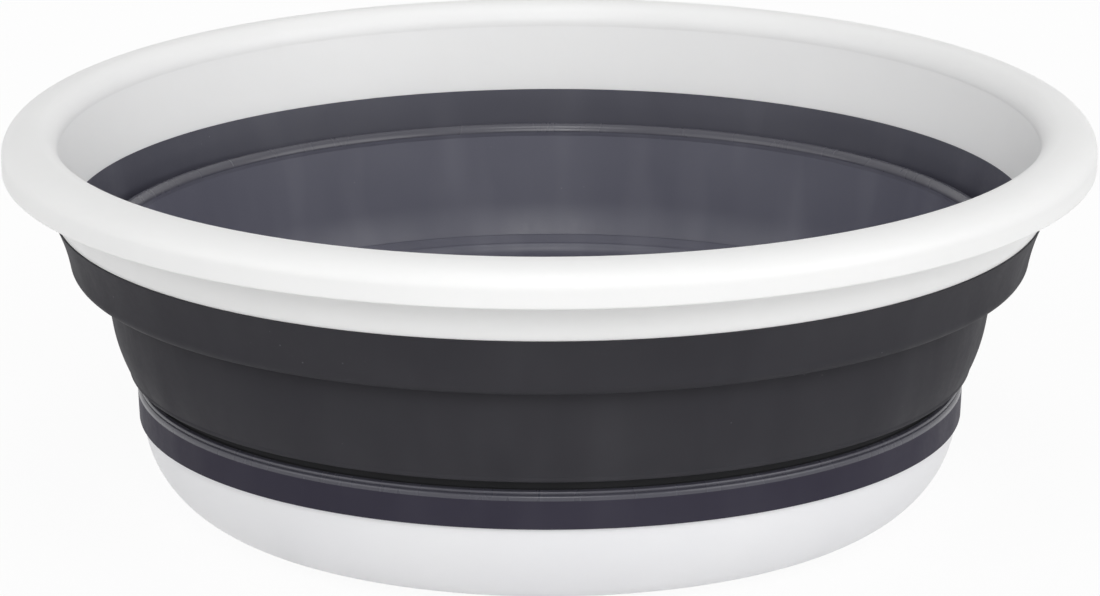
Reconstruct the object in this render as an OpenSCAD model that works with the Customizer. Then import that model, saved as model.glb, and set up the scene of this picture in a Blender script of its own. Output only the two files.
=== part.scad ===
// Round pop-up washing up bowl: a hard rim and a hard base joined by a folding rubber wall.
// Every piece is turned about the Z axis. The origin is the centre of the bowl's underside.
// The wall is one rubber moulding. It is parted here at its two living hinges, because its
// three rings move differently when the rim is pushed down: the upper ring goes down with the
// rim, the fold ring turns inside out, and the lower ring stays with the base.

/* [Rim] */
// Outer diameter of the rolled rim
rim_d = 370; // [340:2:400]
// Width of the rolled rim, from its outer face to the inside of the bowl
lip_w = 19; // [17:0.2:24]
// Width of the outer part of the crown, from its top to the outer face
crown_out_w = 11.8; // [9:0.2:13]
// Height of the rim's rounded crown
crown_h = 8; // [6:0.5:11]
// Height of the straight skirt on the outside of the rim, below the crown
skirt_h = 6; // [3:0.5:10]
// Wall of the rolled rim
rim_t = 2.8; // [2.2:0.1:3.4]
// Height of the collar, from its seam with the rubber up to the crown
collar_h = 21.4; // [17:0.2:30]
// Wall of the collar at its seam with the rubber
collar_t = 4.6; // [4:0.1:5.4]
// How much wider the inside of the collar is at its top than at the seam
collar_draft = 3.4; // [1:0.2:4.4]
// How much lower the seam with the rubber lies inside the bowl than outside
seam_drop = 1; // [0:0.2:1.6]

/* [Upper ring] */
// Height of the upper ring, from the bottom of its heel up to the seam
upper_h = 20.2; // [17:0.2:26]
// How far the upper ring's outer face draws in from the seam to the heel
upper_in = 5.2; // [3:0.2:7]
// Angle of the face just above the heel, from upright
heel_angle = 10; // [4:1:16]
// Outer radius of the heel, the round turn that leads up to the upper hinge
heel_r = 4.6; // [4:0.1:6]
// How far the rubber stands proud of the collar
rim_proud = 0.5; // [0.2:0.1:0.8]

/* [Fold ring] */
// Height of the fold ring, from its foot up to its crest
fold_h = 42.3; // [36:0.5:50]
// How far the fold ring's outer face draws in from crest to foot
fold_in = 10; // [8:0.2:12]
// Height of the lower part of the fold ring, which curves in
fold_curve_h = 15.5; // [12:0.5:20]
// How much of the drawing in lies in that curve
fold_curve_in = 5.2; // [4:0.2:6]
// Thickness of the fold ring's foot, where it bends most as it turns inside out
foot_t = 1.4; // [1.2:0.1:1.8]
// Radius of the round crest along the fold ring's top
crest_r = 1.8; // [1.6:0.1:2.2]
// How far the crest stands above the heel
crest_rise = 9.2; // [8.6:0.2:11]

/* [Lower ring] */
// Height of the lower ring's thick part, from its seam with the base up to its shoulder
lower_h = 13.4; // [11:0.2:18]
// How far its outer face draws in from the shoulder to the seam
lower_in = 0.5; // [0.2:0.1:1]
// Height of the groove between the shoulder and the fold ring's foot
groove_h = 4.7; // [4:0.1:6.5]
// Height of the ridge inside the bowl, above the fold ring's foot
ridge_rise = 1.9; // [1.6:0.1:2.4]
// Width of the ridge
ridge_w = 5; // [4:0.1:5.8]
// Width of the thin web that joins the ridge to the lower hinge
web_w = 0.8; // [0.4:0.1:1]
// How far the rubber stands proud of the base
base_proud = 1.4; // [0.4:0.1:1.6]

/* [Rubber] */
// Thickness of the upper ring and the fold ring
ring_t = 3; // [2.6:0.1:3.4]
// Thickness of the two living hinges
hinge_t = 1.8; // [1.2:0.1:2]
// Parting gap at each living hinge
hinge_gap = 0.1; // [0.05:0.05:0.3]
// Room that the lower ring leaves inside the fold ring as the bowl folds
nest_gap = 1.4; // [0.6:0.1:1.6]

/* [Base] */
// Height of the base, from the surface it stands on up to its seam with the rubber
base_h = 32.6; // [26:0.2:34]
// Radius of the rounded side of the base
side_r = 34.6; // [34:0.2:42]
// Wall of the base
base_t = 2.6; // [2.2:0.1:2.8]
// Width of the foot ring that the bowl stands on
foot_w = 8; // [5:0.5:14]
// How far the floor inside the foot ring is raised
floor_rise = 1.2; // [0.8:0.1:1.8]
// Diameter of the dimple at the moulding point under the base
gate_d = 10; // [8:1:14]
// Depth of that dimple
gate_depth = 0.5; // [0.3:0.1:0.8]

/* [Bond] */
// Height of the tongues of hard plastic that are buried in the rubber
tongue_h = 6; // [4:0.5:8]
// Thickness of a tongue at its root
tongue_t = 1.6; // [1.2:0.1:1.8]

/* [Hidden] */

// Steps in a quarter turn of a large curve and of a small edge
curve_steps = 10;
edge_steps = 4;
// Round edge of the hard plastic, and of the rubber
hard_edge_r = 0.8;
soft_edge_r = 0.5;
// A tongue's thickness at its tip, as a share of that at its root
tip_share = 0.75;
// Angle round the crest at which it runs into the fold ring's inner face
crest_end = 205;
// Round edge of the lower ring's shoulder, and height and angle of the bevel above it
shoulder_edge_r = 1;
bevel_h = 2.6;
bevel_angle = 60;
bevel_top_angle = 15;
// Angle round the ridge at which it runs into the lower hinge
ridge_start = 50;

// Heights, from the surface that the bowl stands on
shoulder_z = base_h + lower_h;
foot_z = shoulder_z + groove_h;
crest_z = foot_z + fold_h;
heel_z = crest_z - crest_rise;
seam_z = heel_z + upper_h;
crown_z = seam_z + collar_h;

// Radii of the rim
rim_r = rim_d / 2;
apex_r = rim_r - crown_out_w;
crown_in_r = rim_r - lip_w;
collar_in_r = crown_in_r - collar_draft;
collar_out_r = collar_in_r + collar_t;
collar_top_r = crown_in_r + rim_t;

// The upper ring: its faces run down from the seam and turn up again round the heel
upper_r = collar_out_r + rim_proud;
seam_in = [collar_in_r, seam_z - seam_drop];
heel_top = [upper_r - upper_in, heel_z + heel_r * (1 - sin(heel_angle))];
heel_c = [heel_top[0] - heel_r * cos(heel_angle), heel_z + heel_r];
trough_r = heel_r - (ring_t + hinge_t) / 2;
trough_c = heel_c - [(ring_t - hinge_t) / 2, 0];
trough_top = trough_c + trough_r * [cos(heel_angle), -sin(heel_angle)];

// The fold ring hangs from the heel's inner leg
fold_r = heel_c[0] - heel_r - hinge_gap;
crest_c = [fold_r - crest_r, crest_z - crest_r];
fold_foot_r = fold_r - fold_in;
fold_curve_top = [fold_foot_r + fold_curve_in, foot_z + fold_curve_h];
fold_lean = (fold_in - fold_curve_in) / (crest_c[1] - fold_curve_top[1]);

// The lower ring nests inside the fold ring's foot
ridge_r = fold_foot_r - foot_t - hinge_gap;
shoulder_r = ridge_r + hinge_gap - nest_gap;
lower_seam_r = shoulder_r - lower_in;
ridge_z = foot_z + ridge_rise;
ridge_c = [ridge_r - web_w - ridge_w / 2, ridge_z - ridge_w / 2];
neck_in_r = ridge_c[0] - ridge_w / 2;

// The base's side is an arc that is tangent to the surface the bowl stands on
base_seam_r = lower_seam_r - base_proud;
side_angle = asin((base_h - side_r) / side_r);
side_c = [base_seam_r - side_r * cos(side_angle), side_r];
side_in_r = side_r - base_t;
side_in_angle = asin((base_h - side_r) / side_in_r);
base_in_r = side_c[0] + side_in_r * cos(side_in_angle);

// Points along an ellipse about c, from angle a0 to a1
function oval(c, a, b, a0, a1, steps) =
    [for (i = [0:steps]) let (t = a0 + (a1 - a0) * i / steps) c + [a * cos(t), b * sin(t)]];

// Points along a circle about c, from angle a0 to a1
function arc(c, r, a0, a1, steps) = oval(c, r, r, a0, a1, steps);

// Radius at height z of a face that bends evenly from p to q, where it leans by lean at q
function face_r(p, q, lean, z) =
    let (t = (z - p[1]) / (q[1] - p[1]), mid = q[0] + lean * (p[1] - q[1]) / 2)
    (1 - t) * (1 - t) * p[0] + 2 * t * (1 - t) * mid + t * t * q[0];

// Points along that face
function face(p, q, lean) =
    [for (i = [0:curve_steps]) let (z = p[1] + (q[1] - p[1]) * i / curve_steps) [face_r(p, q, lean, z), z]];

// The same points in the other order
function back(points) = [for (i = [len(points) - 1:-1:0]) points[i]];

// A solid turned about the Z axis from its half section
module turned(section) {
    rotate_extrude($fn = 180) polygon(section);
}

// Radius at height z of the upper ring's outer and inner face
function upper_out_r(z) = face_r([upper_r, seam_z], heel_top, tan(heel_angle), z);
function upper_in_r(z) = face_r(seam_in, trough_top, tan(heel_angle), z);

// Radius at height z of the lower ring's outer and inner face, which are straight
function lower_out_r(z) = lower_seam_r + lower_in * (z - base_h) / (lower_h - bevel_h);
function lower_in_r(z) = base_in_r + (neck_in_r - base_in_r) * (z - base_h) / (ridge_c[1] - base_h);

// The four corners of a tongue with its root and tip at these radii and heights, inside first.
// The inside corner of the root is lower by drop.
function tongue(root, tip, drop) =
    let (half = tongue_t / 2, tip_half = half * tip_share)
    [root - [half, drop], tip - [tip_half, 0], tip + [tip_half, 0], root + [half, 0]];

// The upper tongue hangs from the middle of the collar's wall to the middle of the rubber's
upper_tip_z = seam_z - tongue_h;
upper_tongue = tongue(
    [(collar_in_r + collar_out_r) / 2, seam_z],
    [(upper_in_r(upper_tip_z) + upper_out_r(upper_tip_z)) / 2, upper_tip_z],
    seam_drop
);

// The lower tongue stands from the middle of the base's wall to the middle of the rubber's
lower_tip_z = base_h + tongue_h;
lower_tongue = tongue(
    [(base_in_r + base_seam_r) / 2, base_h],
    [(lower_in_r(lower_tip_z) + lower_out_r(lower_tip_z)) / 2, lower_tip_z],
    0
);

// Rolled lip, open underneath, on a collar that runs down to the rubber
module rim() {
    crown_c = [apex_r, crown_z];
    under_h = crown_h - rim_t;
    lip_z = crown_z - skirt_h;
    edge_c = [rim_r - hard_edge_r, lip_z + hard_edge_r];
    color([0.96, 0.96, 0.95]) turned(concat(
        [[rim_r - rim_t, lip_z]],
        arc(edge_c, hard_edge_r, -90, 0, edge_steps),
        oval(crown_c, crown_out_w, crown_h, 0, 90, curve_steps),
        oval(crown_c, crown_in_r - apex_r, crown_h, 90, 0, curve_steps),
        [seam_in],
        upper_tongue,
        [[collar_out_r, seam_z]],
        oval(crown_c, collar_top_r - apex_r, under_h, 0, 90, curve_steps),
        oval(crown_c, crown_out_w - rim_t, under_h, 90, 0, curve_steps)
    ));
}

// Rubber below the collar: it draws in, turns up round the heel and ends in the upper hinge
module wall_upper_ring() {
    edge_c = [upper_r - soft_edge_r, seam_z - soft_edge_r];
    leg_c = heel_c + [hinge_t / 2 - heel_r, hinge_t / 2];
    color([0.23, 0.23, 0.25]) turned(concat(
        arc(edge_c, soft_edge_r, 90, 0, edge_steps),
        face([upper_r, edge_c[1]], heel_top, tan(heel_angle)),
        arc(heel_c, heel_r, -heel_angle, -180, 2 * curve_steps),
        arc(leg_c, hinge_t / 2, 180, 0, 2 * edge_steps),
        arc(trough_c, trough_r, -180, -heel_angle, 2 * curve_steps),
        back(face(seam_in, trough_top, tan(heel_angle))),
        upper_tongue
    ));
}

// Rubber band between the two hinges: it turns inside out as the bowl is pushed flat
module wall_fold_ring() {
    edge_c = [fold_foot_r - soft_edge_r, foot_z + soft_edge_r];
    foot_in_r = fold_foot_r - foot_t;
    in_top_z = crest_c[1] - crest_r / 2;
    in_top_r = fold_r - ring_t - fold_lean * crest_r / 2;
    curve_foot = [foot_in_r, foot_z + hinge_t];
    color([0.25, 0.25, 0.27]) turned(concat(
        arc(edge_c, soft_edge_r, -90, 0, edge_steps),
        face([fold_foot_r, edge_c[1]], fold_curve_top, fold_lean),
        arc(crest_c, crest_r, 0, crest_end, 2 * curve_steps),
        [[in_top_r, in_top_z]],
        back(face(curve_foot, fold_curve_top - [ring_t, 0], fold_lean)),
        [[foot_in_r, foot_z + soft_edge_r]]
    ));
}

// Rubber above the base: a thick ring with a thin neck, which ends in the lower hinge
module wall_lower_ring() {
    seam_edge_c = [lower_seam_r - soft_edge_r, base_h + soft_edge_r];
    shoulder_c = [shoulder_r - shoulder_edge_r, shoulder_z - bevel_h];
    top_edge_c = [shoulder_c[0] - soft_edge_r / 2, shoulder_z - soft_edge_r];
    neck_top_z = foot_z - hinge_t / 2;
    web_z = foot_z + soft_edge_r;
    color([0.24, 0.23, 0.27]) turned(concat(
        arc(seam_edge_c, soft_edge_r, -90, 0, edge_steps),
        arc(shoulder_c, shoulder_edge_r, 0, bevel_angle, edge_steps),
        arc(top_edge_c, soft_edge_r, bevel_top_angle, 90, edge_steps),
        [
            [lower_in_r(shoulder_z) + hinge_t, shoulder_z],
            [lower_in_r(neck_top_z) + hinge_t, neck_top_z],
            [ridge_r, web_z],
            [ridge_r, foot_z + hinge_t - soft_edge_r]
        ],
        arc(ridge_c, ridge_w / 2, ridge_start, 180, 2 * curve_steps),
        [[base_in_r, base_h]],
        lower_tongue
    ));
}

// Shallow dish with a rounded side, a foot ring and a raised floor
module base() {
    foot_in_r = side_c[0] - foot_w;
    step_w = 2 * floor_rise;
    step_angle = atan(floor_rise / step_w);
    in_shift = base_t * tan(step_angle / 2);
    gate_z = floor_rise + gate_depth;
    floor_z = floor_rise + base_t;
    color([0.93, 0.93, 0.95]) turned(concat(
        [
            [0, gate_z],
            [gate_d / 2, gate_z],
            [gate_d / 2, floor_rise],
            [foot_in_r - step_w, floor_rise],
            [foot_in_r, 0]
        ],
        arc(side_c, side_r, -90, side_angle, 2 * curve_steps),
        back(lower_tongue),
        arc(side_c, side_in_r, side_in_angle, -90, 2 * curve_steps),
        [
            [foot_in_r + in_shift, base_t],
            [foot_in_r - step_w + in_shift, floor_z],
            [0, floor_z]
        ]
    ));
}

rim();
wall_upper_ring();
wall_fold_ring();
wall_lower_ring();
base();
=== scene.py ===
import math

import bmesh
import bpy
from mathutils import Matrix, Vector, noise


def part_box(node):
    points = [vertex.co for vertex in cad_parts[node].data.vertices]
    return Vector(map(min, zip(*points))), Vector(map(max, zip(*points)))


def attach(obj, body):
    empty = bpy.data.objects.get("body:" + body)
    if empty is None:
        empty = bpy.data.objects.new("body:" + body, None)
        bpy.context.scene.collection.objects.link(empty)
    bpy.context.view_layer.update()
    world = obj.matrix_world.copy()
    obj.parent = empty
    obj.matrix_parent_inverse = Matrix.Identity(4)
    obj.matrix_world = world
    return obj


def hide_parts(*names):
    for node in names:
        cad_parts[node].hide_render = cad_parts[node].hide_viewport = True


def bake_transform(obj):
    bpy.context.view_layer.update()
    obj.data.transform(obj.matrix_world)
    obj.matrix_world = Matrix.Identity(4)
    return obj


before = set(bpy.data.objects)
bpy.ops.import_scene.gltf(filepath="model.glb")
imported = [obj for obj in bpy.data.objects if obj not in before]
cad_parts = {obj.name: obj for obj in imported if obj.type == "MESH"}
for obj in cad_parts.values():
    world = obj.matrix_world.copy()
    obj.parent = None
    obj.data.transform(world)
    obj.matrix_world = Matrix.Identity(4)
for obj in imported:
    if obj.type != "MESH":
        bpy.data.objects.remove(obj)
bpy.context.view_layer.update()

# Outlines are in millimetres, as half sections of (radius, height). Objects and places are in metres.
MM = 0.001

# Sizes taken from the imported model
rim_r, top_z = [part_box("rim")[1][axis] / MM for axis in (0, 2)]
upper_r, seam_z = [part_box("wall_upper_ring")[1][axis] / MM for axis in (0, 2)]
fold_r, crest_z = [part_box("wall_fold_ring")[1][axis] / MM for axis in (0, 2)]
ridge_r, ridge_z = [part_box("wall_lower_ring")[1][axis] / MM for axis in (0, 2)]
heel_z, foot_z, base_h = [
    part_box(node)[0][2] / MM for node in ("wall_upper_ring", "wall_fold_ring", "wall_lower_ring")
]

# Sizes within the pieces, as in the model, in millimetres and degrees
LIP_W = 19
CROWN_OUT_W = 11.8
CROWN_H = 8
SKIRT_H = 6
RIM_T = 2.8
COLLAR_T = 4.6
RIM_PROUD = 0.5
SEAM_DROP = 1
HEEL_ANGLE = 10
HEEL_R = 4.6
RING_T = 3
HINGE_T = 1.8
HINGE_GAP = 0.1
CREST_R = 1.8
FOLD_IN = 10
FOLD_CURVE_H = 15.5
FOLD_CURVE_IN = 5.2
FOOT_T = 1.4
FOOT_LIP_H = 0.5
NEST_GAP = 1.4
GROOVE_H = 4.7
LOWER_IN = 0.5
BEVEL_H = 2.6
RIDGE_W = 5
WEB_W = 0.8
BASE_PROUD = 1.4
SIDE_R = 34.6
BASE_T = 2.6
FOOT_W = 8
FLOOR_RISE = 1.2
GATE_D = 10
GATE_DEPTH = 0.5
TONGUE_H = 6
TONGUE_T = 1.6
TIP_SHARE = 0.75

# Sizes of the forms that only this visual model has

# The wall starts to draw in a little below its seam with the rim
SEAM_STRAIGHT_H = 0.3
# The hump, which joins the crest to the hinge's leg, and where its inner end stops
HUMP_R = 2.75
HUMP_END = 190
# How far below the crest's centre the fold ring's inner face starts
INNER_TOP_DROP = 1.2 * CREST_R
# How far the corner above the foot is filled
CORNER_H = 4
# The shoulder's lower edge, the fine line above it and its upper edge
LOWER_EDGE_R = 1
LOWER_EDGE_DROP = 0.1
LOWER_EDGE_END = 80
LINE_IN, LINE_DROP = 0.9, 1.65
UPPER_EDGE_R = 0.65
UPPER_EDGE_IN, UPPER_EDGE_DROP = 1.2, 1.1
UPPER_EDGE_START = -30
# How far below the shoulder its rubbed rubber, painted lighter as a highlight, reaches, and, halved,
# how far in from its edge. Further in, the groove's rubber is painted darker as shade
SHOULDER_EDGE = 3.4
# The rounding of each piece's corners
RIM_ROUND = 0.7
UPPER_ROUND = 0.5
FOLD_ROUND = 0.4
LOWER_ROUND = 0.3
BASE_ROUND = 0.8
# How far the rubber strays from round, in how many lobes round it and over what height
UNEVEN = 0.15
UNEVEN_LOBES = 4
UNEVEN_H = 40

# How finely the pieces are made: steps round the axis, and lengths of the steps along the outlines
TURN_STEPS = 288
CURVE_STEP = 0.8
FOLD_STEP = 0.6
BASE_STEP = 2.5
ARC_MIN_STEPS = 4
ARC_STEP_ANGLE = 12
# The short step at each end of a stretch, and how little a seam's corners are rounded
SUPPORT = 0.12
SEAM_EDGE = 0.12
# How close a corner is to a seam's height, and one point to the next, to count as the same
SEAM_MATCH = 0.01
SAME_POINT = 0.004
MERGE_DISTANCE = 0.002
# The smallest turn that is rounded
SHARP = math.radians(25)
# The most of a stretch that a rounded corner takes up, and the places of its points
CORNER_SHARE = 0.45
CORNER_POINTS = (0, 0.2, 0.4, 0.6, 0.8, 1)

# The mesh attribute that keeps each point's place at rest, which the materials read
REST = "rest_place"

# The camera, fitted to the photograph: it stands at this distance and elevation from a pivot on the
# bowl's axis, and looks at a point a little below the pivot
CAMERA_DISTANCE = 2.59
CAMERA_ELEVATION = math.radians(15.58)
CAMERA_PIVOT_Z = 0.0824
LOOK_X, LOOK_Z = 0.0001, 0.0710
CAMERA_ROLL = math.radians(-0.16)
FOCAL_PX = 7622.7
IMAGE_W = 1100
SENSOR_W = 36
CLIP_START, CLIP_END = 0.05, 50

# The stage: a pale floor just below the bowl, and a plain sky
FLOOR_HALF = 6
FLOOR_Z = -0.0001
FLOOR_COLOUR = (0.93, 0.93, 0.93, 1)
FLOOR_WHITE_SHARE = 0.94
SKY_STRENGTH = 0.32


# Lines of an outline


def arc(centre, radius, start, end, radius_z=None):
    """Points along a circle, or an ellipse if radius_z is given, between two angles in degrees."""
    radius_z = radius if radius_z is None else radius_z
    length = abs(math.radians(end - start)) * max(radius, radius_z)
    steps = max(ARC_MIN_STEPS, math.ceil(length / CURVE_STEP),
                math.ceil(abs(end - start) / ARC_STEP_ANGLE))
    angles = [math.radians(start + (end - start) * i / steps) for i in range(steps + 1)]
    return [Vector((centre[0] + radius * math.cos(a), centre[1] + radius_z * math.sin(a)))
            for a in angles]


def bend(start, end, lean, step=CURVE_STEP):
    """Points along a face that bends evenly from start to end, where it leans by lean."""
    steps = math.ceil((Vector(end) - Vector(start)).length / step)
    mid = Vector((end[0] + lean * (start[1] - end[1]) / 2, (start[1] + end[1]) / 2))
    points = []
    for i in range(steps + 1):
        t = i / steps
        points.append((1 - t) ** 2 * Vector(start) + 2 * t * (1 - t) * mid + t ** 2 * Vector(end))
    return points


def bend_r(start, end, lean, height):
    """Radius of that face at a height."""
    t = (height - start[1]) / (end[1] - start[1])
    mid = end[0] + lean * (start[1] - end[1]) / 2
    return (1 - t) ** 2 * start[0] + 2 * t * (1 - t) * mid + t ** 2 * end[0]


def tidy(points, closed):
    """The same line with no point twice."""
    kept = []
    for p in points:
        if not kept or (p - kept[-1]).length > SAME_POINT:
            kept.append(Vector(p))
    if closed and (kept[0] - kept[-1]).length <= SAME_POINT:
        kept.pop()
    return kept


def rounded(points, radius, seams=(), closed=True, step=CURVE_STEP):
    """An outline with its corners rounded and its long stretches divided.

    A corner at the height of a seam is rounded only by SEAM_EDGE, so that the seam stays tight.
    """
    points = tidy([Vector(p) for p in points], closed)
    count = len(points)
    made = []
    for i, p in enumerate(points):
        if not closed and i in (0, count - 1):
            made.append(p)
            continue
        before, after = points[i - 1] - p, points[(i + 1) % count] - p
        turn = math.pi - before.angle(after)
        if turn < SHARP:
            made.append(p)
            continue
        at_seam = any(abs(p[1] - z) < SEAM_MATCH for z in seams)
        wanted = (SEAM_EDGE if at_seam else radius) * math.tan(turn / 2)
        reach = min(wanted, before.length * CORNER_SHARE, after.length * CORNER_SHARE)
        enter, leave = p + before.normalized() * reach, p + after.normalized() * reach
        made += [enter.lerp(p, t).lerp(p.lerp(leave, t), t) for t in CORNER_POINTS]
    line = []
    for i, p in enumerate(made):
        line.append(p)
        if not closed and i == len(made) - 1:
            break
        after = made[(i + 1) % len(made)]
        length = (after - p).length
        if length > 3 * SUPPORT:
            steps = math.ceil((length - 2 * SUPPORT) / step)
            first, last = SUPPORT / length, 1 - SUPPORT / length
            line += [p.lerp(after, first + (last - first) * k / steps) for k in range(steps + 1)]
    return line


# Pieces


def turned(name, outline, materials, pick=None, closed=True, offset=None):
    """A piece turned about the Z axis from its outline.

    pick(radius, height, inwards) gives the number of a face's material. inwards says whether the face
    looks towards the axis. offset(angle, point) says how far a point is moved out.
    """
    count = len(outline)
    mesh = bpy.data.meshes.new(name)
    verts = []
    for k in range(TURN_STEPS):
        angle = 2 * math.pi * k / TURN_STEPS
        for p in outline:
            r = p[0] + (offset(angle, p) if offset else 0)
            verts.append((r * MM * math.cos(angle), r * MM * math.sin(angle), p[1] * MM))
    faces = []
    for k in range(TURN_STEPS):
        here, there = k * count, (k + 1) % TURN_STEPS * count
        for i in range(count if closed else count - 1):
            j = (i + 1) % count
            faces.append((here + i, there + i, there + j, here + j))
    mesh.from_pydata(verts, [], faces)
    bm = bmesh.new()
    bm.from_mesh(mesh)
    bmesh.ops.remove_doubles(bm, verts=bm.verts, dist=MERGE_DISTANCE * MM)
    bmesh.ops.recalc_face_normals(bm, faces=bm.faces)
    for face in bm.faces:
        middle = face.calc_center_median()
        inwards = face.normal.x * middle.x + face.normal.y * middle.y < 0
        face.material_index = pick(middle.to_2d().length / MM, middle.z / MM, inwards) if pick else 0
    bm.to_mesh(mesh)
    bm.free()
    mesh.shade_smooth()
    for material in materials:
        mesh.materials.append(material)
    rest = mesh.attributes.new(REST, "FLOAT_VECTOR", "POINT")
    rest.data.foreach_set("vector", [value for vertex in mesh.vertices for value in vertex.co])
    piece = bpy.data.objects.new(name, mesh)
    bpy.context.scene.collection.objects.link(piece)
    return piece


def fade(value, low, high, width):
    """1 between low and high, and smoothly down to 0 over the width next to each of them."""
    t = min(1, max(0, min(value - low, high - value) / width))
    return t * t * (3 - 2 * t)


def unevenness(low, high, width, seed):
    """How rubber that has been folded and opened again strays from round.

    It doesn't at the heights low and high, where the piece is stiff, and grows to its full size over
    a width away from them.
    """

    def offset(angle, p):
        place = Vector((UNEVEN_LOBES * math.cos(angle), UNEVEN_LOBES * math.sin(angle),
                        p[1] / UNEVEN_H + seed))
        return UNEVEN * noise.noise(place) * fade(p[1], low, high, width)

    return offset


# Materials

# The scales of their noises, per metre, so a larger one is finer
PLASTIC_CLOUDS, PLASTIC_FINE, PLASTIC_GRAIN = 14, 420, 1600
RUBBER_CLOUDS, RUBBER_FINE, RUBBER_GRAIN = 22, 500, 1800
DUST_SCALE, DUST_GAPS = 260, 60
# The depths of their bumps, in metres
PLASTIC_FLOW_DEPTH, PLASTIC_GRAIN_DEPTH = 0.0006, 0.00004
RUBBER_WAVE_DEPTH, RUBBER_GRAIN_DEPTH = 0.0012, 0.00006
PLASTIC_ROUGHNESS = 0.40
# The colour of the rubber's lighter streaks, which are partly marks of handling and partly painted
# reflection
MARKS_AND_SHEEN_COLOUR = (0.32, 0.32, 0.36)
DUST_COLOUR = (0.22, 0.22, 0.24)


def add(tree, kind, **values):
    """A shader node, with its settings and its inputs' values by name."""
    node = tree.nodes.new("ShaderNode" + kind)
    for key, value in values.items():
        if hasattr(node, key):
            setattr(node, key, value)
        else:
            node.inputs[key.replace("_", " ")].default_value = value
    return node


def start_material(name, **values):
    """A new material, its node tree, its shader and the surface's own coordinates."""
    material = bpy.data.materials.new(name)
    material.use_nodes = True
    tree = material.node_tree
    shader = tree.nodes["Principled BSDF"]
    for key, value in values.items():
        shader.inputs[key.replace("_", " ")].default_value = value
    place = add(tree, "Attribute", attribute_name=REST).outputs["Vector"]
    return material, tree, shader, place


def noise_of(tree, place, scale, detail=2.0, roughness=0.5):
    node = add(tree, "TexNoise", Scale=scale, Detail=detail, Roughness=roughness)
    tree.links.new(place, node.inputs["Vector"])
    return node.outputs["Fac"]


def remap(tree, value, low, high, out_low, out_high):
    node = add(tree, "MapRange", From_Min=low, From_Max=high, To_Min=out_low, To_Max=out_high)
    tree.links.new(value, node.inputs["Value"])
    return node.outputs["Result"]


def mixed(tree, factor, first, second):
    """A colour between two colours, which are values or sockets."""
    node = add(tree, "Mix", data_type="RGBA")
    tree.links.new(factor, node.inputs["Factor"])
    for socket, colour in zip((node.inputs[6], node.inputs[7]), (first, second)):
        if isinstance(colour, bpy.types.NodeSocket):
            tree.links.new(colour, socket)
        else:
            socket.default_value = (*colour, 1)
    return node.outputs[2]


def joined(tree, operation, first, second):
    """Two values put together by a math operation."""
    node = add(tree, "Math", operation=operation)
    for socket, value in zip(node.inputs, (first, second)):
        if isinstance(value, bpy.types.NodeSocket):
            tree.links.new(value, socket)
        else:
            socket.default_value = value
    return node.outputs["Value"]


def around(tree, place, per_radius, per_metre):
    """Coordinates that run round the axis and up it, on which a noise can be drawn out upwards."""
    flat = add(tree, "VectorMath", operation="MULTIPLY")
    flat.inputs[1].default_value = (1, 1, 0)
    tree.links.new(place, flat.inputs[0])
    unit = add(tree, "VectorMath", operation="NORMALIZE")
    tree.links.new(flat.outputs[0], unit.inputs[0])
    wide = add(tree, "VectorMath", operation="SCALE", Scale=per_radius)
    tree.links.new(unit.outputs[0], wide.inputs[0])
    high = add(tree, "VectorMath", operation="MULTIPLY")
    high.inputs[1].default_value = (0, 0, per_metre)
    tree.links.new(place, high.inputs[0])
    total = add(tree, "VectorMath", operation="ADD")
    tree.links.new(wide.outputs[0], total.inputs[0])
    tree.links.new(high.outputs[0], total.inputs[1])
    return total.outputs[0]


def bumped(tree, shader, layers):
    """Bumps on the shader, each a (height, strength, distance in metres)."""
    normal = None
    for height, strength, distance in layers:
        bump = add(tree, "Bump", Strength=strength, Distance=distance)
        tree.links.new(height, bump.inputs["Height"])
        if normal:
            tree.links.new(normal, bump.inputs["Normal"])
        normal = bump.outputs["Normal"]
    tree.links.new(normal, shader.inputs["Normal"])


def plastic(name, colour, shade):
    """Moulded polypropylene: satin, a little translucent, with a fine grain and some rubbed places."""
    material, tree, shader, place = start_material(
        name, IOR=1.49, Subsurface_Weight=0.15, Subsurface_Radius=(1, 0.98, 0.95),
        Subsurface_Scale=0.005)
    clouds = noise_of(tree, place, PLASTIC_CLOUDS, detail=3)
    base = mixed(tree, remap(tree, clouds, 0.35, 0.65, 0, 1), colour, shade)
    tree.links.new(base, shader.inputs["Base Color"])
    rubbed = noise_of(tree, around(tree, place, 9, 25), 1, detail=4)
    fine = noise_of(tree, place, PLASTIC_FINE, detail=3)
    rough = joined(tree, "ADD",
                   remap(tree, rubbed, 0.3, 0.7, PLASTIC_ROUGHNESS - 0.04, PLASTIC_ROUGHNESS + 0.05),
                   remap(tree, fine, 0.3, 0.7, -0.015, 0.015))
    tree.links.new(rough, shader.inputs["Roughness"])
    flow = noise_of(tree, around(tree, place, 5, 18), 1, detail=2)
    grain = noise_of(tree, place, PLASTIC_GRAIN, detail=2)
    bumped(tree, shader, [(flow, 0.25, PLASTIC_FLOW_DEPTH), (grain, 0.12, PLASTIC_GRAIN_DEPTH)])
    return material


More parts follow.
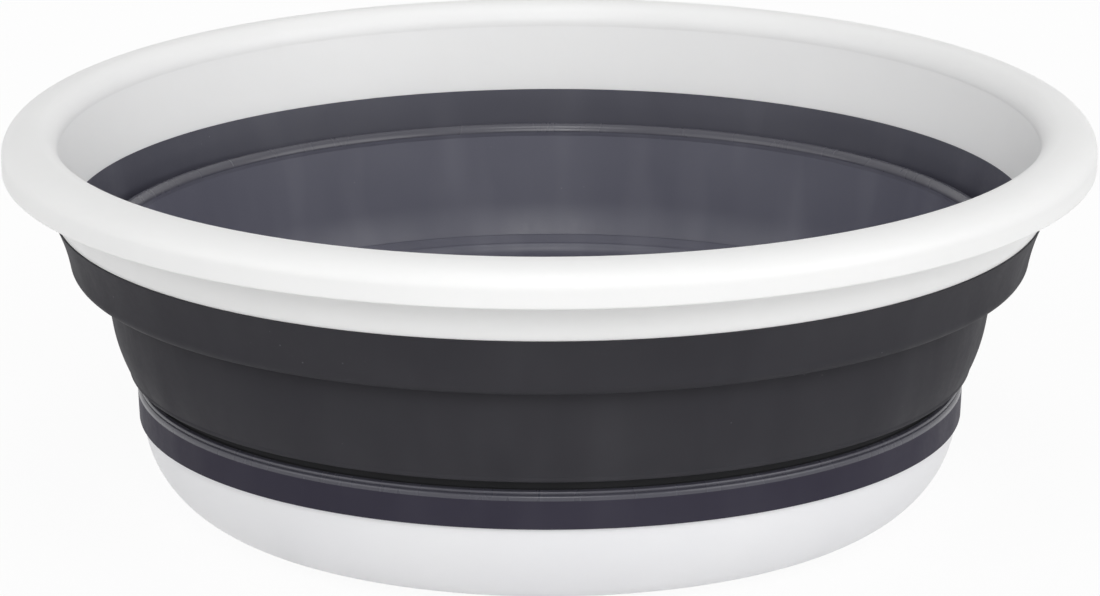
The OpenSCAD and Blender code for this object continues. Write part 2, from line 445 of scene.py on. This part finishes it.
def rubber(name, colour, shade, marks_and_sheen, roughness, ior, grit=1.0):
    """Thermoplastic rubber: dark and matt, with a fine grain, marks of handling and a little dust.

    marks_and_sheen is how strong the lighter streaks are, which are partly those marks and partly
    painted reflection. grit is how much of the grain and the dust shows: none where the rubber is
    rubbed smooth.
    """
    material, tree, shader, place = start_material(name, IOR=ior)
    clouds = noise_of(tree, place, RUBBER_CLOUDS, detail=3)
    base = mixed(tree, remap(tree, clouds, 0.35, 0.65, 0, 1), colour, shade)
    streaks = noise_of(tree, around(tree, place, 7, 12), 1, detail=2, roughness=0.45)
    streak_share = remap(tree, streaks, 0.50, 0.75, 0, marks_and_sheen)
    base = mixed(tree, streak_share, base, MARKS_AND_SHEEN_COLOUR)
    dust = add(tree, "TexVoronoi", Scale=DUST_SCALE, Randomness=1.0)
    tree.links.new(place, dust.inputs["Vector"])
    gaps = noise_of(tree, place, DUST_GAPS, detail=1)
    speck = joined(tree, "MULTIPLY", remap(tree, dust.outputs["Distance"], 0.05, 0.09, 1, 0),
                   remap(tree, gaps, 0.62, 0.70, 0, 0.35 * grit))
    base = mixed(tree, speck, base, DUST_COLOUR)
    tree.links.new(base, shader.inputs["Base Color"])
    rubbed = noise_of(tree, around(tree, place, 12, 30), 1, detail=4)
    fine = noise_of(tree, place, RUBBER_FINE, detail=3)
    rough = joined(tree, "ADD", remap(tree, rubbed, 0.3, 0.7, roughness - 0.06, roughness + 0.05),
                   remap(tree, fine, 0.3, 0.7, -0.03 * grit, 0.03 * grit))
    tree.links.new(rough, shader.inputs["Roughness"])
    wave = noise_of(tree, around(tree, place, 6, 8), 1, detail=1)
    grain = noise_of(tree, place, RUBBER_GRAIN, detail=3)
    bumped(tree, shader, [(wave, 0.35 * grit, RUBBER_WAVE_DEPTH),
                          (grain, 0.2 * grit, RUBBER_GRAIN_DEPTH)])
    return material


rim_plastic = plastic("rim_white", (0.94, 0.94, 0.935), (0.92, 0.92, 0.915))
base_plastic = plastic("base_white", (0.90, 0.90, 0.915), (0.88, 0.88, 0.90))
outer_rubber = rubber("rubber_outside", (0.040, 0.039, 0.045), (0.046, 0.045, 0.051),
                      marks_and_sheen=0.02, roughness=0.55, ior=1.12)
# The insides' rubber is the same as the outside's, painted lighter and bluer: painted light, for the
# light that falls into the bowl and is reflected there
inner_rubber_painted_lighter = rubber("rubber_inside", (0.052, 0.052, 0.071), (0.059, 0.059, 0.079),
                      marks_and_sheen=0.06, roughness=0.44, ior=1.42)
# The insides of the fold ring and the lower ring are painted lighter still, with stronger streaks:
# painted light and painted reflection
fold_rubber_painted_lighter = rubber("rubber_inside_fold", (0.078, 0.078, 0.105), (0.087, 0.087, 0.115),
                     marks_and_sheen=0.12, roughness=0.40, ior=1.45)
lower_rubber = rubber("rubber_lower", (0.036, 0.033, 0.049), (0.042, 0.039, 0.056),
                      marks_and_sheen=0.02, roughness=0.50, ior=1.15)
# The crest's and the shoulder's rubber is smoother, as rubbed rubber is, and on the shoulder its
# lighter colour is a painted highlight along the edges
polished_highlight_rubber = rubber("rubber_rubbed_edge_painted_highlight", (0.058, 0.057, 0.074), (0.064, 0.063, 0.081),
                         marks_and_sheen=0.03, roughness=0.27, ior=1.50, grit=0)
# The groove's rubber is painted darker: painted shade in the groove under the fold ring's foot
groove_painted_shade_rubber = rubber("rubber_painted_shade_in_groove", (0.024, 0.024, 0.026), (0.028, 0.028, 0.030),
                       marks_and_sheen=0.01, roughness=0.60, ior=1.15)


# The rim: a rolled lip, open underneath, on a collar

collar_out_r = upper_r - RIM_PROUD
collar_in_r = collar_out_r - COLLAR_T
seam_in = (collar_in_r, seam_z - SEAM_DROP)
crown_in_r = rim_r - LIP_W
collar_top_r = crown_in_r + RIM_T
crown_z = top_z - CROWN_H
apex = (rim_r - CROWN_OUT_W, crown_z)
heel = (fold_r + HINGE_GAP + HEEL_R, heel_z + HEEL_R)
heel_lean = math.tan(math.radians(HEEL_ANGLE))
heel_top = (heel[0] + HEEL_R * math.cos(math.radians(HEEL_ANGLE)),
            heel[1] - HEEL_R * math.sin(math.radians(HEEL_ANGLE)))
trough_r = HEEL_R - (RING_T + HINGE_T) / 2
trough = (heel[0] - (RING_T - HINGE_T) / 2, heel[1])
trough_top = (trough[0] + trough_r * math.cos(math.radians(HEEL_ANGLE)),
              trough[1] - trough_r * math.sin(math.radians(HEEL_ANGLE)))


def tongue(root, tip, drop):
    """The four corners of a tongue of hard plastic in the rubber, from its inside corner on.

    root and tip are the middles of its ends. The root's inside corner is lower by drop.
    """
    half, tip_half = TONGUE_T / 2, TONGUE_T / 2 * TIP_SHARE
    return [(root[0] - half, root[1] - drop), (tip[0] - tip_half, tip[1]),
            (tip[0] + tip_half, tip[1]), (root[0] + half, root[1])]


upper_tip_z = seam_z - TONGUE_H
upper_tip_r = (bend_r((upper_r, seam_z), heel_top, heel_lean, upper_tip_z)
               + bend_r(seam_in, trough_top, heel_lean, upper_tip_z)) / 2
upper_tongue = tongue(((collar_in_r + collar_out_r) / 2, seam_z), (upper_tip_r, upper_tip_z), SEAM_DROP)

rim_outline = rounded(
    [(rim_r - RIM_T, crown_z - SKIRT_H), (rim_r, crown_z - SKIRT_H)]
    + arc(apex, CROWN_OUT_W, 0, 90, CROWN_H)
    + arc(apex, crown_in_r - apex[0], 90, 0, CROWN_H)
    + [seam_in] + upper_tongue + [(collar_out_r, seam_z)]
    + arc(apex, collar_top_r - apex[0], 0, 90, CROWN_H - RIM_T)
    + arc(apex, CROWN_OUT_W - RIM_T, 90, 0, CROWN_H - RIM_T),
    radius=RIM_ROUND, seams=(seam_z, seam_in[1]),
)
rim = turned("rim_lip_and_collar", rim_outline, [rim_plastic])
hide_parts("rim")
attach(rim, "rim_body")

# The upper ring: it draws in, turns up round the heel and ends in the upper hinge

crest = (fold_r - CREST_R, crest_z - CREST_R)
hump = (crest[0] - CREST_R + HUMP_R, crest_z - HUMP_R)


def hump_angle(radius):
    """Angle round the hump at a radius from the bowl's axis."""
    return math.degrees(math.acos((radius - hump[0]) / HUMP_R))


upper_outline = rounded(
    [(upper_r, seam_z)]
    + bend((upper_r, seam_z - SEAM_STRAIGHT_H), heel_top, heel_lean)
    + arc(heel, HEEL_R, -HEEL_ANGLE, -180)
    + arc(hump, HUMP_R, hump_angle(fold_r + HINGE_GAP), 0)
    + arc(trough, trough_r, -180, -HEEL_ANGLE)
    + bend(seam_in, trough_top, heel_lean)[::-1]
    + upper_tongue,
    radius=UPPER_ROUND, seams=(seam_z, seam_in[1]),
)


def upper_face(r, z, inwards):
    """0 outside, 1 inside, on the hinge's leg and in the trough, where it is painted lighter."""
    if z > heel[1]:
        return int(inwards or r < heel[0])
    return int(math.hypot(r - heel[0], z - heel[1]) < (HEEL_R + trough_r) / 2)


upper_ring = turned("upper_ring_skin", upper_outline, [outer_rubber, inner_rubber_painted_lighter], upper_face,
                    offset=unevenness(low=heel_z + 3, high=seam_z - 2, width=6, seed=3.1))
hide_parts("wall_upper_ring")
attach(upper_ring, "rim_body")

# The fold ring, between the base and the rim, which on the real bowl turns inside out and bends

foot_r = fold_r - FOLD_IN
curve_top = (foot_r + FOLD_CURVE_IN, foot_z + FOLD_CURVE_H)
fold_lean = (FOLD_IN - FOLD_CURVE_IN) / (crest[1] - curve_top[1])
inner_top = (fold_r - RING_T - fold_lean * INNER_TOP_DROP, crest[1] - INNER_TOP_DROP)
inner_foot = (foot_r - FOOT_T, foot_z + CORNER_H)
fold_outline = rounded(
    arc((inner_foot[0], foot_z), FOOT_T, -90, 0)
    + bend((foot_r, foot_z + FOOT_LIP_H), curve_top, fold_lean, FOLD_STEP)
    + arc(hump, HUMP_R, hump_angle(fold_r), HUMP_END)
    + [inner_top]
    + bend(inner_foot, (curve_top[0] - RING_T, curve_top[1]), fold_lean, FOLD_STEP)[::-1],
    radius=FOLD_ROUND, seams=(inner_foot[1],), step=FOLD_STEP,
)


def fold_face(r, z, inwards):
    """0 outside, 1 inside, which is painted lighter, 2 on the crest."""
    crest_low_z = crest[1] - CREST_R / 2 if inwards else crest[1]
    return 2 if z > crest_low_z else int(inwards)


fold_ring = turned("fold_ring_skin", fold_outline,
                   [outer_rubber, fold_rubber_painted_lighter, polished_highlight_rubber], fold_face,
                   offset=unevenness(low=foot_z + 2, high=crest_z - 4, width=10, seed=7.7))
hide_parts("wall_fold_ring")
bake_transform(fold_ring)

# The lower ring: thick at the base, with a thin neck, a ridge inside the bowl and the lower hinge

shoulder_z = foot_z - GROOVE_H
shoulder_r = foot_r - FOOT_T - NEST_GAP
lower_seam_r = shoulder_r - LOWER_IN
ridge = (ridge_r - WEB_W - RIDGE_W / 2, ridge_z - RIDGE_W)
neck_in_r = ridge[0] - RIDGE_W / 2
hinge_top = (ridge_r, inner_foot[1])
base_seam_r = lower_seam_r - BASE_PROUD
side_angle = math.asin((base_h - SIDE_R) / SIDE_R)
side = (base_seam_r - SIDE_R * math.cos(side_angle), SIDE_R)
side_in_r = SIDE_R - BASE_T
side_in_angle = math.asin((base_h - SIDE_R) / side_in_r)
base_in_r = side[0] + side_in_r * math.cos(side_in_angle)


def lower_in_r(height):
    """Radius of the lower ring's inner face."""
    return base_in_r + (neck_in_r - base_in_r) * (height - base_h) / (ridge_z - RIDGE_W / 2 - base_h)


lower_tip_z = base_h + TONGUE_H
lower_tip_out_r = lower_seam_r + LOWER_IN * TONGUE_H / (shoulder_z - base_h - BEVEL_H)
lower_tongue = tongue(((base_in_r + base_seam_r) / 2, base_h),
                      ((lower_in_r(lower_tip_z) + lower_tip_out_r) / 2, lower_tip_z), 0)
neck_top_z = foot_z - HINGE_T / 2
lower_outline = rounded(
    [(lower_seam_r, base_h)]
    + arc((shoulder_r - LOWER_EDGE_R, shoulder_z - BEVEL_H - LOWER_EDGE_DROP),
          LOWER_EDGE_R, 0, LOWER_EDGE_END)
    + [(shoulder_r - LINE_IN, shoulder_z - LINE_DROP)]
    + arc((shoulder_r - UPPER_EDGE_IN, shoulder_z - UPPER_EDGE_DROP),
          UPPER_EDGE_R, UPPER_EDGE_START, 90)
    + [(lower_in_r(shoulder_z) + HINGE_T, shoulder_z), (lower_in_r(neck_top_z) + HINGE_T, neck_top_z),
       (ridge_r, foot_z + FOOT_LIP_H), hinge_top]
    + arc(ridge, RIDGE_W / 2, 90, 180, RIDGE_W)
    + [(base_in_r, base_h)] + lower_tongue,
    radius=LOWER_ROUND, seams=(base_h, hinge_top[1]),
)


def lower_face(r, z, inwards):
    """0 outside, 1 inside, painted lighter, 2 round the shoulder's edges, painted lighter as a
    highlight, 3 in the groove above it, painted darker as shade.
    """
    if inwards or z > foot_z:
        return 1
    if z > shoulder_z - SHOULDER_EDGE:
        return 2 if r > shoulder_r - SHOULDER_EDGE / 2 else 3
    return 0


lower_ring = turned("lower_ring_skin", lower_outline,
                    [lower_rubber, fold_rubber_painted_lighter, polished_highlight_rubber, groove_painted_shade_rubber], lower_face)
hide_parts("wall_lower_ring")
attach(lower_ring, "base_body")

# The base: a dish with a rounded side, a foot ring and a raised floor

foot_in_r = side[0] - FOOT_W
step_w = 2 * FLOOR_RISE
in_shift = BASE_T * math.tan(math.atan(FLOOR_RISE / step_w) / 2)
gate_z = FLOOR_RISE + GATE_DEPTH
floor_z = FLOOR_RISE + BASE_T
base_outline = rounded(
    [(0, gate_z), (GATE_D / 2, gate_z), (GATE_D / 2, FLOOR_RISE),
     (foot_in_r - step_w, FLOOR_RISE), (foot_in_r, 0)]
    + arc(side, SIDE_R, -90, math.degrees(side_angle))
    + lower_tongue[::-1]
    + arc(side, side_in_r, math.degrees(side_in_angle), -90)
    + [(foot_in_r + in_shift, BASE_T), (foot_in_r - step_w + in_shift, floor_z), (0, floor_z)],
    radius=BASE_ROUND, seams=(base_h,), closed=False, step=BASE_STEP,
)
base = turned("base_dish", base_outline, [base_plastic], closed=False)
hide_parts("base")
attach(base, "base_body")

# The floor, the lights and the camera


def seen_directly(tree):
    """1 for what the camera sees, also in mirror images and through glass, and 0 for other light."""
    path = add(tree, "LightPath")
    seen = joined(tree, "MAXIMUM", path.outputs["Is Camera Ray"], path.outputs["Is Glossy Ray"])
    return joined(tree, "MAXIMUM", seen, path.outputs["Is Transmission Ray"])


def show_white(tree, surface, share):
    """The shader as lit, but with this share of plain white where it is seen directly."""
    seen = seen_directly(tree)
    white = add(tree, "Emission", Color=(1, 1, 1, 1), Strength=1.0)
    mix = add(tree, "MixShader")
    tree.links.new(joined(tree, "MULTIPLY", seen, share), mix.inputs[0])
    tree.links.new(surface, mix.inputs[1])
    tree.links.new(white.outputs[0], mix.inputs[2])
    return mix.outputs[0]


floor_mesh = bpy.data.meshes.new("floor")
floor_corners = ((-1, -1), (1, -1), (1, 1), (-1, 1))
floor_mesh.from_pydata([(x * FLOOR_HALF, y * FLOOR_HALF, FLOOR_Z) for x, y in floor_corners],
                       [], [(0, 1, 2, 3)])
floor = bpy.data.objects.new("floor", floor_mesh)
bpy.context.scene.collection.objects.link(floor)
floor_paint, floor_tree, floor_shader, _ = start_material("floor_paint", Roughness=0.8)
floor_shader.inputs["Base Color"].default_value = FLOOR_COLOUR
floor_out = floor_tree.nodes["Material Output"]
floor_tree.links.new(show_white(floor_tree, floor_shader.outputs[0], FLOOR_WHITE_SHARE),
                     floor_out.inputs["Surface"])
floor_mesh.materials.append(floor_paint)

world = bpy.data.worlds.new("studio")
bpy.context.scene.world = world
world.use_nodes = True
sky_tree = world.node_tree
sky = sky_tree.nodes["Background"]
sky.inputs["Color"].default_value = (1, 1, 1, 1)
sky_strength = remap(sky_tree, seen_directly(sky_tree), 0, 1, SKY_STRENGTH, 1)
sky_tree.links.new(sky_strength, sky.inputs["Strength"])


def far_light(name, azimuth, elevation, spread, strength):
    """A wide soft light from far away.

    Its angles are in degrees. The azimuth is 0 in front of the bowl and 90 on its right.
    """
    light = bpy.data.lights.new(name, "SUN")
    light.angle = math.radians(spread)
    light.energy = strength
    lamp = bpy.data.objects.new(name, light)
    across, up = math.radians(azimuth), math.radians(elevation)
    way = Vector((math.sin(across) * math.cos(up), -math.cos(across) * math.cos(up), math.sin(up)))
    lamp.rotation_euler = way.to_track_quat("Z", "Y").to_euler()
    bpy.context.scene.collection.objects.link(lamp)


far_light("front", azimuth=0, elevation=31, spread=24, strength=0.70)
far_light("overhead", azimuth=0, elevation=72, spread=22, strength=0.45)
far_light("left", azimuth=-60, elevation=20, spread=50, strength=0.64)
far_light("right", azimuth=60, elevation=20, spread=50, strength=1.06)

lens = bpy.data.cameras.new("camera")
lens.sensor_width = SENSOR_W
lens.lens = FOCAL_PX / IMAGE_W * SENSOR_W
camera = bpy.data.objects.new("camera", lens)
camera.location = (0, -CAMERA_DISTANCE * math.cos(CAMERA_ELEVATION),
                   CAMERA_PIVOT_Z + CAMERA_DISTANCE * math.sin(CAMERA_ELEVATION))
towards = Vector((LOOK_X, 0, LOOK_Z)) - camera.location
turn = towards.to_track_quat("-Z", "Y").to_matrix().to_4x4() @ Matrix.Rotation(CAMERA_ROLL, 4, "Z")
camera.rotation_euler = turn.to_euler()
lens.clip_start, lens.clip_end = CLIP_START, CLIP_END
bpy.context.scene.collection.objects.link(camera)
bpy.context.scene.camera = camera
bpy.context.scene.view_settings.view_transform = "Standard"
